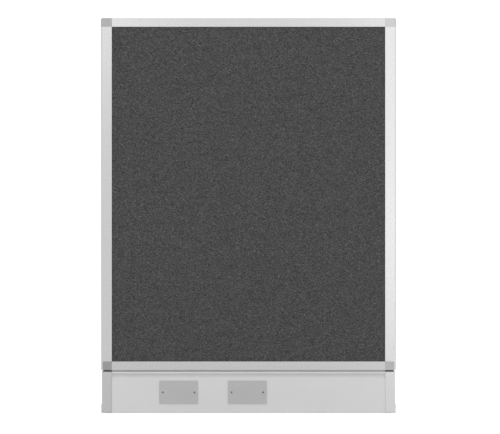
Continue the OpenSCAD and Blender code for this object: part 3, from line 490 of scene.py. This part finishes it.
def stretch_cloth(node, front):
    """Lay a cloth over a board: a fine grid, its rim folded back and the fold rounded."""
    low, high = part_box(node)
    wide, tall, deep = high.x - low.x, high.z - low.z, high.y - low.y
    thickness = 0.0007
    fold = 0.0012
    grid = (86, 105)
    slack, rim_pull, pull_reach, ripples = 0.00005, 0.00016, 0.045, 24.0
    face_y = low.y + thickness / 2 if front else high.y - thickness / 2
    inward = 1 if front else -1
    bpy.ops.object.select_all(action="DESELECT")
    bpy.ops.mesh.primitive_grid_add(x_subdivisions=grid[0], y_subdivisions=grid[1], size=1,
                                    location=(0, face_y, (low.z + high.z) / 2))
    cloth = bpy.context.object
    cloth.name = node + "_cloth"
    cloth.rotation_euler = (math.radians(90 if front else -90), 0, 0)
    cloth.scale = (wide - thickness, tall - thickness, 1)
    bpy.ops.object.transform_apply(location=True, rotation=True, scale=True)
    bpy.ops.object.mode_set(mode="EDIT")
    bpy.ops.mesh.select_mode(type="EDGE")
    bpy.ops.mesh.select_all(action="DESELECT")
    bpy.ops.mesh.select_non_manifold()
    turned_in = (0, inward * (deep - thickness), 0)
    bpy.ops.mesh.extrude_region_move(TRANSFORM_OT_translate={"value": turned_in})
    bpy.ops.object.mode_set(mode="OBJECT")
    shape = bmesh.new()
    shape.from_mesh(cloth.data)
    corner = [e for e in shape.edges if len(e.link_faces) == 2
              and abs(e.link_faces[0].normal.dot(e.link_faces[1].normal)) < 0.5]
    bmesh.ops.bevel(shape, geom=corner, offset=fold, segments=3, affect="EDGES", profile=0.5)
    sheet_uv = shape.loops.layers.uv.verify()
    middle_z = (low.z + high.z) / 2
    for face in shape.faces:
        for loop in face.loops:
            x, y, z = loop.vert.co
            back = abs(y - face_y)
            over_x = back if abs(x) > wide / 2 - 2 * fold else 0
            over_z = back if abs(z - middle_z) > tall / 2 - 2 * fold else 0
            loop[sheet_uv].uv = (x + math.copysign(over_x, x) + 1,
                                 z + math.copysign(over_z, z - middle_z) + 1)
    for vert in shape.verts:
        rim = min(wide / 2 - abs(vert.co.x), tall / 2 - abs(vert.co.z - middle_z))
        if rim > 0.004:
            pull = rim_pull * math.exp(-rim / pull_reach) + slack
            vert.co.y -= inward * pull * noise.noise(vert.co * ripples)
    bmesh.ops.recalc_face_normals(shape, faces=shape.faces)
    shape.to_mesh(cloth.data)
    shape.free()
    make_active(cloth)
    bulk = cloth.modifiers.new("cloth_thickness", "SOLIDIFY")
    bulk.thickness = thickness
    bulk.offset = 0
    bpy.ops.object.modifier_apply(modifier=bulk.name)
    bpy.ops.object.shade_smooth()
    dress(cloth, cloth_finish)
    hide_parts(node)
    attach(cloth, "panel")


stretch_cloth("front_fabric", True)
stretch_cloth("rear_fabric", False)

# ---------------------------------------------------------------------------
# Tack boards: pressed fibreboard, brown and flecked, one under each cloth.
# Sawn to size and glued to the core and its battens.
# ---------------------------------------------------------------------------
board_finish, tree, shader = new_finish("fibreboard", (0.34, 0.25, 0.17), 0.0, 0.9)
flecks = tree.nodes.new("ShaderNodeTexVoronoi")
flecks.inputs["Scale"].default_value = 900.0
tree.links.new(surface_vector(tree, (1, 1, 0.4)), flecks.inputs["Vector"])
fibre_colors = tree.nodes.new("ShaderNodeValToRGB")
fibre_colors.color_ramp.elements[0].color = (0.2, 0.14, 0.09, 1)
fibre_colors.color_ramp.elements[1].color = (0.42, 0.32, 0.22, 1)
tree.links.new(flecks.outputs["Distance"], fibre_colors.inputs["Fac"])
tree.links.new(fibre_colors.outputs["Color"], shader.inputs["Base Color"])
for name in ("front_board", "rear_board"):
    dress(name, board_finish)

# ---------------------------------------------------------------------------
# Core: brown kraft-paper honeycomb, pulled open to its six-sided cells and
# glued by its edges between the two boards.
# ---------------------------------------------------------------------------
kraft_finish, tree, shader = new_finish("kraft_paper", (0.5, 0.37, 0.23), 0.0, 0.88)
pulp = tree.nodes.new("ShaderNodeTexNoise")
pulp.inputs["Scale"].default_value = 700.0
pulp.inputs["Detail"].default_value = 5.0
tree.links.new(surface_vector(tree, (1, 1, 1)), pulp.inputs["Vector"])
kraft_colors = tree.nodes.new("ShaderNodeValToRGB")
kraft_colors.color_ramp.elements[0].color = (0.38, 0.27, 0.15, 1)
kraft_colors.color_ramp.elements[1].color = (0.62, 0.47, 0.3, 1)
tree.links.new(pulp.outputs["Fac"], kraft_colors.inputs["Fac"])
tree.links.new(kraft_colors.outputs["Color"], shader.inputs["Base Color"])
dress("honeycomb", kraft_finish)

# ---------------------------------------------------------------------------
# Battens: planed pine strips that frame the core, butted at the corners and
# glued to both boards, so the grain runs along each strip.
# ---------------------------------------------------------------------------
for run, names in (("Z", ("left_batten", "right_batten")), ("X", ("top_batten", "bottom_batten"))):
    pine_finish, tree, shader = new_finish("pine_along_" + run.lower(), (0.62, 0.47, 0.28), 0.0, 0.7)
    rings = tree.nodes.new("ShaderNodeTexNoise")
    rings.inputs["Scale"].default_value = 1.0
    rings.inputs["Detail"].default_value = 4.0
    rings.inputs["Distortion"].default_value = 1.2
    stretch = [160.0, 160.0, 160.0]
    stretch["XYZ".index(run)] = 5.0
    tree.links.new(surface_vector(tree, stretch), rings.inputs["Vector"])
    pine_colors = tree.nodes.new("ShaderNodeValToRGB")
    pine_colors.color_ramp.elements[0].position = 0.35
    pine_colors.color_ramp.elements[0].color = (0.45, 0.3, 0.15, 1)
    pine_colors.color_ramp.elements[1].position = 0.62
    pine_colors.color_ramp.elements[1].color = (0.7, 0.54, 0.34, 1)
    tree.links.new(rings.outputs["Fac"], pine_colors.inputs["Fac"])
    tree.links.new(pine_colors.outputs["Color"], shader.inputs["Base Color"])
    for name in names:
        dress(name, pine_finish)

# ---------------------------------------------------------------------------
# Setting pads and grommets: black rubber. The pads carry the infill, and the
# grommets are pushed into the cable pass-throughs of the legs.
# ---------------------------------------------------------------------------
rubber_finish, tree, shader = new_finish("black_rubber", (0.03, 0.03, 0.03), 0.0, 0.75)
add_moulded_skin(tree, shader, (0.038, 0.038, 0.038), (0.022, 0.022, 0.022), 0.72, 0.00003)
dress("setting_pads", rubber_finish)
for name in ("left_grommet", "right_grommet"):
    grommet = finished_copy(name, 0.0003)
    dress(grommet, rubber_finish)

# ---------------------------------------------------------------------------
# Raceway spine and divider: mill-finish aluminium extrusions under the bottom
# rail. The covers hook over the spine's rods, and its jaws hold the divider.
# ---------------------------------------------------------------------------
spine_finish, tree, shader = new_finish("mill_aluminium", (0.7, 0.7, 0.71), 1.0, 0.42)
add_grain(tree, shader, "X", (0.72, 0.72, 0.73), (0.6, 0.6, 0.61), 0.42, 0.00005)
for name in ("spine", "divider"):
    extrusion = finished_copy(name, 0.0002)
    dress(extrusion, spine_finish)

# ---------------------------------------------------------------------------
# Legs: hollow die-cast aluminium ends of the raceway, powder-coated silver
# grey. Each is bolted up into the corner block over it.
# ---------------------------------------------------------------------------
# The right leg is toned lighter than the left: painted light from the right.
for name, lit_tone in (("left_leg", 0.628), ("right_leg", 0.77)):
    leg_finish, tree, shader = new_finish(name + "_silver_coat", (lit_tone, lit_tone, lit_tone), 0.7, 0.38)
    add_moulded_skin(tree, shader, (lit_tone + 0.03,) * 3, (lit_tone - 0.02,) * 3, 0.38, 0.00005,
                     worn=(min(1, lit_tone + 0.12),) * 3)
    # Painted shade: the neck under the corner block is coloured near-black to stand for the shadow gap
    # between leg and block.
    height = tree.nodes.new("ShaderNodeTexCoord")
    apart = tree.nodes.new("ShaderNodeSeparateXYZ")
    tree.links.new(height.outputs["Object"], apart.inputs["Vector"])
    neck_shade_mask = tree.nodes.new("ShaderNodeMapRange")
    neck_shade_mask.inputs["From Min"].default_value = 0.1288
    neck_shade_mask.inputs["From Max"].default_value = 0.1292
    tree.links.new(apart.outputs["Z"], neck_shade_mask.inputs["Value"])
    painted_neck_shadow = tree.nodes.new("ShaderNodeMix")
    painted_neck_shadow.data_type = "RGBA"
    painted_neck_shadow.inputs["B"].default_value = (0.05, 0.05, 0.05, 1)
    coat = shader.inputs["Base Color"].links[0].from_socket
    tree.links.new(coat, painted_neck_shadow.inputs["A"])
    tree.links.new(neck_shade_mask.outputs["Result"], painted_neck_shadow.inputs["Factor"])
    tree.links.new(painted_neck_shadow.outputs["Result"], shader.inputs["Base Color"])
    leg = finished_copy(name, 0.0004, segments=3)
    dress(leg, leg_finish)

# ---------------------------------------------------------------------------
# Threaded inserts: turned brass, a little tarnished, heat-set into the lower
# corner blocks to take the leg bolts.
# ---------------------------------------------------------------------------
brass_finish, tree, shader = new_finish("insert_brass", (0.72, 0.56, 0.26), 1.0, 0.32)
tarnish = tree.nodes.new("ShaderNodeTexNoise")
tarnish.inputs["Scale"].default_value = 500.0
tree.links.new(surface_vector(tree, (1, 1, 1)), tarnish.inputs["Vector"])
brass_colors = tree.nodes.new("ShaderNodeValToRGB")
brass_colors.color_ramp.elements[0].color = (0.5, 0.36, 0.14, 1)
brass_colors.color_ramp.elements[1].color = (0.8, 0.64, 0.32, 1)
tree.links.new(tarnish.outputs["Fac"], brass_colors.inputs["Fac"])
tree.links.new(brass_colors.outputs["Color"], shader.inputs["Base Color"])
dress("leg_inserts", brass_finish)

# ---------------------------------------------------------------------------
# Foot brackets: folded steel sheet in bright zinc, with its rolling lines.
# Screwed to the legs' outer sides, they carry the glide nuts.
# ---------------------------------------------------------------------------
bracket_finish, tree, shader = new_finish("bracket_zinc", (0.62, 0.62, 0.63), 0.9, 0.38)
add_grain(tree, shader, "Y", (0.66, 0.66, 0.67), (0.56, 0.56, 0.57), 0.38, 0.00003)
for name in ("left_bracket", "right_bracket"):
    bracket = finished_copy(name, 0.0002)
    dress(bracket, bracket_finish)

# ---------------------------------------------------------------------------
# Glides: black nylon feet, moulded with a socket that the stem's ball snaps
# into. Their rims are scuffed by the floor.
# ---------------------------------------------------------------------------
nylon_finish, tree, shader = new_finish("black_nylon", (0.04, 0.04, 0.04), 0.0, 0.5)
add_moulded_skin(tree, shader, (0.05, 0.05, 0.05), (0.03, 0.03, 0.03), 0.5, 0.00003,
                 worn=(0.12, 0.12, 0.12))
for name in ("left_glide", "right_glide"):
    glide = finished_copy(name, 0.0002)
    dress(glide, nylon_finish)

# ---------------------------------------------------------------------------
# Stems: turned steel with a rolled M10 thread above a hexagon and a ball.
# The thread is one tooth swept round the core, trimmed square at its ends.
# ---------------------------------------------------------------------------

def threaded_stem(node):
    low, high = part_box(node)
    cx, cy = (low.x + high.x) / 2, (low.y + high.y) / 2
    crest, pitch, tooth = 0.00494, 0.0015, 0.00082
    ball, hex_low, hex_tall, hex_flat = 0.006, 0.0147, 0.005, 0.013
    shank_middle, shank_tall = 0.0123, 0.008
    start = hex_low + hex_tall - 0.002
    turns = int((high.z - start) / pitch) + 2
    bpy.ops.object.select_all(action="DESELECT")
    bpy.ops.mesh.primitive_circle_add(vertices=3, radius=0.001, location=(0, 0, 0))
    thread = bpy.context.object
    thread.name = node + "_threaded"
    tooth_line = bmesh.new()
    points = [(crest - tooth, 0), (crest - tooth, pitch * 0.12), (crest, pitch * 0.45),
              (crest, pitch * 0.55), (crest - tooth, pitch * 0.88), (crest - tooth, pitch)]
    made = [tooth_line.verts.new((x, 0, z)) for x, z in points]
    for a, b in zip(made, made[1:]):
        tooth_line.edges.new((a, b))
    tooth_line.to_mesh(thread.data)
    tooth_line.free()
    sweep = thread.modifiers.new("thread_sweep", "SCREW")
    sweep.steps = 20
    sweep.render_steps = 20
    sweep.screw_offset = pitch
    sweep.iterations = turns
    sweep.use_merge_vertices = True
    sweep.merge_threshold = 0.000005
    bpy.ops.object.modifier_apply(modifier=sweep.name)
    bpy.ops.object.mode_set(mode="EDIT")
    bpy.ops.mesh.select_all(action="SELECT")
    bpy.ops.mesh.remove_doubles(threshold=0.000005)
    bpy.ops.transform.translate(value=(cx, cy, start - pitch))
    bpy.ops.mesh.select_all(action="SELECT")
    bpy.ops.mesh.bisect(plane_co=(cx, cy, high.z - 0.0002), plane_no=(0, 0, 1),
                        use_fill=True, clear_outer=True)
    bpy.ops.mesh.select_all(action="SELECT")
    bpy.ops.mesh.bisect(plane_co=(cx, cy, start), plane_no=(0, 0, 1),
                        use_fill=True, clear_inner=True)
    bpy.ops.mesh.select_all(action="SELECT")
    bpy.ops.mesh.normals_make_consistent(inside=False)
    bpy.ops.object.mode_set(mode="OBJECT")
    bpy.ops.object.select_all(action="DESELECT")
    bpy.ops.mesh.primitive_cylinder_add(vertices=6, radius=hex_flat / math.sqrt(3), depth=hex_tall,
                                        location=(cx, cy, hex_low + hex_tall / 2))
    hexagon = bpy.context.object
    bpy.ops.object.transform_apply(location=True, rotation=True, scale=True)
    soften_edges(hexagon, 0.0004, 2)
    bpy.ops.object.select_all(action="DESELECT")
    bpy.ops.mesh.primitive_cylinder_add(vertices=32, radius=crest - tooth, depth=shank_tall,
                                        location=(cx, cy, shank_middle))
    shank = bpy.context.object
    bpy.ops.object.transform_apply(location=True, rotation=True, scale=True)
    soften_edges(shank, 0.0003, 2)
    bpy.ops.object.select_all(action="DESELECT")
    bpy.ops.mesh.primitive_uv_sphere_add(segments=32, ring_count=16, radius=ball,
                                         location=(cx, cy, low.z + ball))
    foot_ball = bpy.context.object
    bpy.ops.object.transform_apply(location=True, rotation=True, scale=True)
    bpy.ops.object.shade_smooth()
    for piece in (hexagon, shank, foot_ball, thread):
        piece.select_set(True)
    bpy.context.view_layer.objects.active = thread
    bpy.ops.object.join()
    make_active(thread)
    bpy.ops.object.shade_smooth_by_angle(angle=math.radians(30))
    dress(thread, zinc_finish)
    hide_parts(node)
    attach(thread, node)


threaded_stem("left_stem")
threaded_stem("right_stem")

# ---------------------------------------------------------------------------
# Raceway covers: extruded aluminium, powder-coated light grey. Each hooks on
# the spine along its top bead and is punched for the outlets.
# ---------------------------------------------------------------------------
cover_finish, tree, shader = new_finish("cover_light_grey_coat", (0.78, 0.78, 0.78), 0.1, 0.42)
add_moulded_skin(tree, shader, (0.79, 0.79, 0.79), (0.755, 0.755, 0.755), 0.42, 0.00003,
                 worn=(0.83, 0.83, 0.83))
# Painted shade: the base colour is darkened in the groove under the bead, fading out down the shoulder.
height = tree.nodes.new("ShaderNodeTexCoord")
apart = tree.nodes.new("ShaderNodeSeparateXYZ")
tree.links.new(height.outputs["Object"], apart.inputs["Vector"])
groove_band = tree.nodes.new("ShaderNodeMapRange")
groove_band.inputs["From Min"].default_value = 0.1
groove_band.inputs["From Max"].default_value = 0.13
tree.links.new(apart.outputs["Z"], groove_band.inputs["Value"])
painted_groove_shade = tree.nodes.new("ShaderNodeValToRGB")
painted_groove_shade.color_ramp.elements[0].position = 0.12
painted_groove_shade.color_ramp.elements[0].color = (1, 1, 1, 1)
painted_groove_shade.color_ramp.elements[1].position = 0.8
painted_groove_shade.color_ramp.elements[1].color = (1, 1, 1, 1)
for place, shade in ((0.36, 0.96), (0.46, 0.91), (0.56, 0.83), (0.66, 0.76), (0.72, 0.86)):
    stop = painted_groove_shade.color_ramp.elements.new(place)
    stop.color = (shade, shade, shade, 1)
tree.links.new(groove_band.outputs["Result"], painted_groove_shade.inputs["Fac"])
groove_shaded = tree.nodes.new("ShaderNodeMix")
groove_shaded.data_type = "RGBA"
groove_shaded.blend_type = "MULTIPLY"
groove_shaded.inputs["Factor"].default_value = 1.0
tree.links.new(shader.inputs["Base Color"].links[0].from_socket, groove_shaded.inputs["A"])
tree.links.new(painted_groove_shade.outputs["Color"], groove_shaded.inputs["B"])
tree.links.new(groove_shaded.outputs["Result"], shader.inputs["Base Color"])
for name in ("front_cover", "rear_cover"):
    cover = finished_copy(name, 0.0002)
    dress(cover, cover_finish)

# ---------------------------------------------------------------------------
# Blank plates: moulded grey plastic, satin, softly rounded at the rim. Two
# screws hold each one over an outlet cut-out.
# ---------------------------------------------------------------------------
plate_finish, tree, shader = new_finish("plate_grey_plastic", (0.53, 0.53, 0.53), 0.0, 0.45)
add_moulded_skin(tree, shader, (0.56, 0.56, 0.56), (0.525, 0.525, 0.525), 0.45, 0.00003,
                 worn=(0.61, 0.61, 0.61))
for name in ("front_left_plate", "front_right_plate", "rear_left_plate", "rear_right_plate"):
    plate = finished_copy(name, 0.0005, segments=3)
    dress(plate, plate_finish)

# ---------------------------------------------------------------------------
# Plate screws: oval-headed slotted screws in steel toned dark as painted shade,
# bright at the slot's edges from wear and a painted highlight, with clip nuts
# of spring steel behind them.
# ---------------------------------------------------------------------------
steel_finish, tree, shader = new_finish("screw_steel_painted_shade_and_highlight", (0.24, 0.24, 0.245), 1.0, 0.24)
turning = tree.nodes.new("ShaderNodeTexNoise")
turning.inputs["Scale"].default_value = 900.0
turning.inputs["Detail"].default_value = 3.0
tree.links.new(surface_vector(tree, (1, 1, 1)), turning.inputs["Vector"])
shaded_head_colors = tree.nodes.new("ShaderNodeValToRGB")
shaded_head_colors.color_ramp.elements[0].position = 0.3
shaded_head_colors.color_ramp.elements[0].color = (0.17, 0.17, 0.175, 1)
shaded_head_colors.color_ramp.elements[1].position = 0.7
shaded_head_colors.color_ramp.elements[1].color = (0.3, 0.3, 0.305, 1)
tree.links.new(turning.outputs["Fac"], shaded_head_colors.inputs["Fac"])
slot_wear_and_highlight = place_group(tree, edge_wear, Reach=0.0003, Patchiness=300.0)
bright_slot_wear_and_highlight = tree.nodes.new("ShaderNodeMix")
bright_slot_wear_and_highlight.data_type = "RGBA"
bright_slot_wear_and_highlight.inputs["B"].default_value = (0.7, 0.7, 0.71, 1)
tree.links.new(slot_wear_and_highlight.outputs["Mask"], bright_slot_wear_and_highlight.inputs["Factor"])
tree.links.new(shaded_head_colors.outputs["Color"], bright_slot_wear_and_highlight.inputs["A"])
tree.links.new(bright_slot_wear_and_highlight.outputs["Result"], shader.inputs["Base Color"])
for name in ("front_plate_screws", "rear_plate_screws"):
    screws = finished_copy(name, 0.00006, segments=1)
    dress(screws, steel_finish)
for name in ("front_clip_nuts", "rear_clip_nuts"):
    clips = finished_copy(name, 0.00006, segments=1)
    dress(clips, zinc_finish)

# ---------------------------------------------------------------------------
# Cover catches: strips of spring steel with a rolled nose, held under the
# divider's shelf by aluminium rivets.
# ---------------------------------------------------------------------------
for name in ("front_catches", "rear_catches"):
    catch = finished_copy(name, 0.00008, segments=1)
    dress(catch, zinc_finish)
rivets = finished_copy("catch_rivets", 0.0003, segments=2)
dress(rivets, spine_finish)

# ---------------------------------------------------------------------------
# Studio: white floor, soft boxes far in front, one low on the right, a soft light
# overhead, and a long lens square on to the panel.
# ---------------------------------------------------------------------------
bpy.ops.object.select_all(action="DESELECT")
bpy.ops.mesh.primitive_plane_add(size=24, location=(0, 0, 0))
floor = bpy.context.object
floor.name = "studio_floor"
floor_finish, tree, shader = new_finish("studio_white", (0.92, 0.92, 0.92), 0.0, 0.9)
seen = tree.nodes.new("ShaderNodeLightPath")
lift = tree.nodes.new("ShaderNodeMapRange")
lift.inputs["To Max"].default_value = 0.5
tree.links.new(seen.outputs["Is Camera Ray"], lift.inputs["Value"])
tree.links.new(lift.outputs["Result"], shader.inputs["Emission Strength"])
shader.inputs["Emission Color"].default_value = (1, 1, 1, 1)
floor.data.materials.append(floor_finish)

world = bpy.data.worlds.new("studio_world")
bpy.context.scene.world = world
world.use_nodes = True
tree = world.node_tree
room = tree.nodes["Background"]
room.inputs["Color"].default_value = (1, 1, 1, 1)
room.inputs["Strength"].default_value = 0.79
backdrop = tree.nodes.new("ShaderNodeBackground")
backdrop.inputs["Color"].default_value = (1, 1, 1, 1)
backdrop.inputs["Strength"].default_value = 1.1
seen = tree.nodes.new("ShaderNodeLightPath")
choice = tree.nodes.new("ShaderNodeMixShader")
tree.links.new(seen.outputs["Is Camera Ray"], choice.inputs["Fac"])
tree.links.new(room.outputs["Background"], choice.inputs[1])
tree.links.new(backdrop.outputs["Background"], choice.inputs[2])
tree.links.new(choice.outputs["Shader"], tree.nodes["World Output"].inputs["Surface"])


def soft_box(name, place, aim, size, glow):
    """An evenly bright panel of light; glow is its brightness, whatever its size."""
    lamp = bpy.data.lights.new(name, "AREA")
    lamp.shape = "RECTANGLE"
    lamp.size, lamp.size_y = size
    lamp.energy = glow * math.pi * size[0] * size[1]
    box = bpy.data.objects.new(name, lamp)
    bpy.context.scene.collection.objects.link(box)
    box.location = place
    box.rotation_euler = (Vector(aim) - Vector(place)).to_track_quat("-Z", "Y").to_euler()


soft_box("left_soft_box", (-2.2, -6.0, 2.9), (-1.3, 0, 1.6), (2.4, 2.4), 0.72)
soft_box("right_soft_box", (2.2, -6.0, 2.0), (1.2, 0, 1.2), (2.2, 3.8), 0.55)
soft_box("low_soft_box", (1.9, -5.0, 0.3), (0.9, 0, 0.3), (1.6, 0.5), 0.95)
soft_box("overhead_soft_box", (0, -1.6, 3.4), (0, -0.3, 0.4), (3.6, 2.0), 0.12)
soft_box("rear_soft_box", (0, 4.5, 2.6), (0, 0, 0.8), (4.0, 3.0), 0.6)

scene = bpy.context.scene
scene.view_settings.view_transform = "Standard"
scene.view_settings.look = "None"

lens = bpy.data.cameras.new("long_lens")
lens.lens = 110
lens.sensor_width = 36
camera = bpy.data.objects.new("camera", lens)
scene.collection.objects.link(camera)
picture_width = 1.54825
distance = lens.lens * picture_width / lens.sensor_width
camera.location = (0.0047, -0.0254 - distance, 0.6077)
camera.rotation_euler = (math.radians(90), 0, 0)
scene.camera = camera
